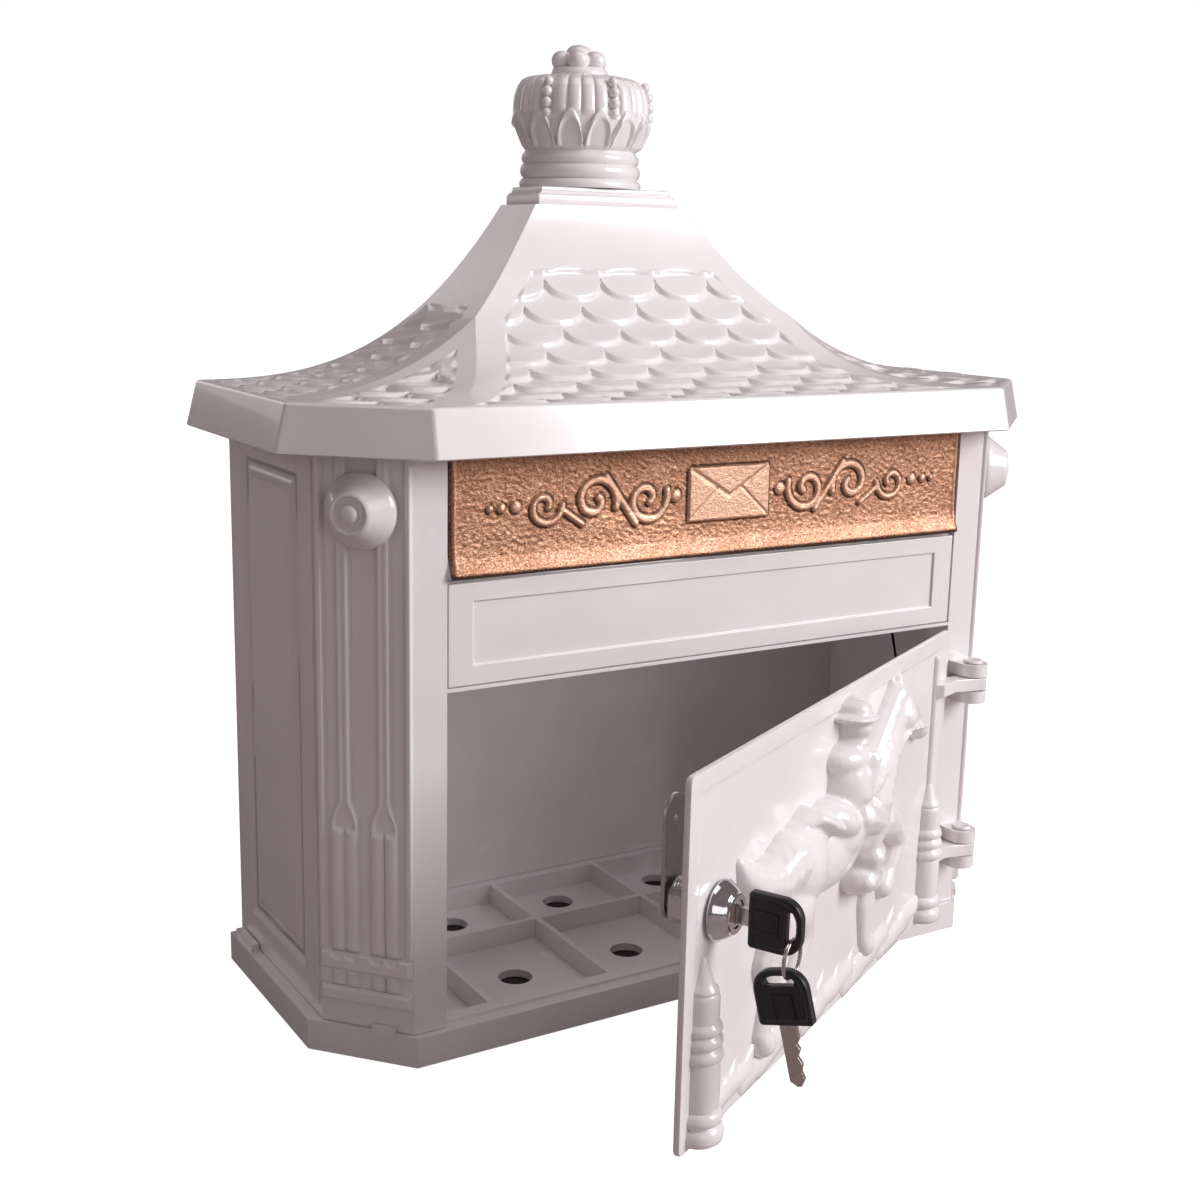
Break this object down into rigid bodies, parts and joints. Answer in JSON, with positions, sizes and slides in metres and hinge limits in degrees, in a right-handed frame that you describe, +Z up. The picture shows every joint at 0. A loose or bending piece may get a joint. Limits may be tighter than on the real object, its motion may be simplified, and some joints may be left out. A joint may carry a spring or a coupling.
{
  "type": "wall mounted mailbox",
  "caption": "Half octagonal cast mailbox for a wall, with a pagoda roof, crown finial, letter flap, side hinged relief door, cam lock and keys.",
  "frame": {"origin": "middle of the back plate's wall face, on the wall plane", "axes": "+X to the right of a person facing the front, +Y into the wall, +Z up"},
  "size_m": [0.4198, 0.3099, 0.4598],
  "materials": {
    "white_powder_coat": "gloss white powder coat on cast aluminium",
    "antique_copper": "brushed antique copper over a hammered casting",
    "zinc_steel": "zinc plated steel",
    "lock_chrome": "polished chrome",
    "key_steel": "nickel plated steel",
    "black_plastic": "satin moulded plastic"
  },
  "bodies": {
    "cabinet": {"base_tray": "white_powder_coat", "back_plate": "white_powder_coat", "side_panel_left": "white_powder_coat", "side_panel_right": "white_powder_coat", "front_casting": "white_powder_coat", "name_panel": "white_powder_coat", "roof_shell": "white_powder_coat", "finial_crown": "white_powder_coat", "finial_screw": "zinc_steel", "corner_rosette_left": "white_powder_coat", "corner_rosette_right": "white_powder_coat", "rosette_screw_left": "white_powder_coat", "rosette_screw_right": "white_powder_coat", "flap_pin_left": "zinc_steel", "flap_pin_right": "zinc_steel", "panel_screw_left": "zinc_steel", "panel_screw_right": "zinc_steel", "hinge_pin_upper": "white_powder_coat", "hinge_pin_lower": "white_powder_coat", "back_screw_lower_left": "zinc_steel", "back_screw_lower_right": "zinc_steel", "back_screw_upper_left": "zinc_steel", "back_screw_upper_right": "zinc_steel", "base_screw_front_left": "zinc_steel", "base_screw_front_right": "zinc_steel", "base_screw_rear_left": "zinc_steel", "base_screw_rear_right": "zinc_steel", "roof_screw_front_left": "zinc_steel", "roof_screw_front_right": "zinc_steel", "roof_screw_rear_left": "zinc_steel", "roof_screw_rear_right": "zinc_steel"},
    "flap": {"letter_flap": "antique_copper"},
    "door": {"door_panel": "white_powder_coat", "lock_barrel": "lock_chrome", "lock_nut": "zinc_steel"},
    "lock_core": {"lock_plug": "lock_chrome", "lock_cam": "zinc_steel", "cam_screw": "zinc_steel"},
    "key": {"key_blade": "key_steel", "key_bow": "black_plastic"},
    "ring": {"key_ring": "key_steel"},
    "spare_key": {"spare_key_blade": "key_steel", "spare_key_bow": "black_plastic"}
  },
  "joints": [
    {"name": "flap_hinge", "type": "hinge", "parent": "cabinet", "child": "flap", "pos_m": [0, -0.1386, 0.122], "axis": [-1, 0, 0], "range_deg": [0, 75]},
    {"name": "door_hinge", "type": "hinge", "parent": "cabinet", "child": "door", "pos_m": [0.1542, -0.1542, -0.0393], "axis": [0, 0, 1], "range_deg": [-27.9, 92]},
    {"name": "lock_turn", "type": "hinge", "parent": "door", "child": "lock_core", "pos_m": [-0.08691, -0.27711, -0.0365], "axis": [0.4679, -0.8838, 0], "range_deg": [0, 90]},
    {"name": "key_slide", "type": "slide", "parent": "lock_core", "child": "key", "axis": [0.4679, -0.8838, 0], "range_m": [0, 0.03]},
    {"name": "ring_swing", "type": "hinge", "parent": "key", "child": "ring", "pos_m": [-0.07498, -0.29964, -0.0413], "axis": [0.8838, 0.4679, 0], "range_deg": [-25, 20]},
    {"name": "spare_key_swing", "type": "hinge", "parent": "ring", "child": "spare_key", "pos_m": [-0.07498, -0.29964, -0.0565], "axis": [0.8838, 0.4679, 0], "range_deg": [-30, 15]}
  ]
}
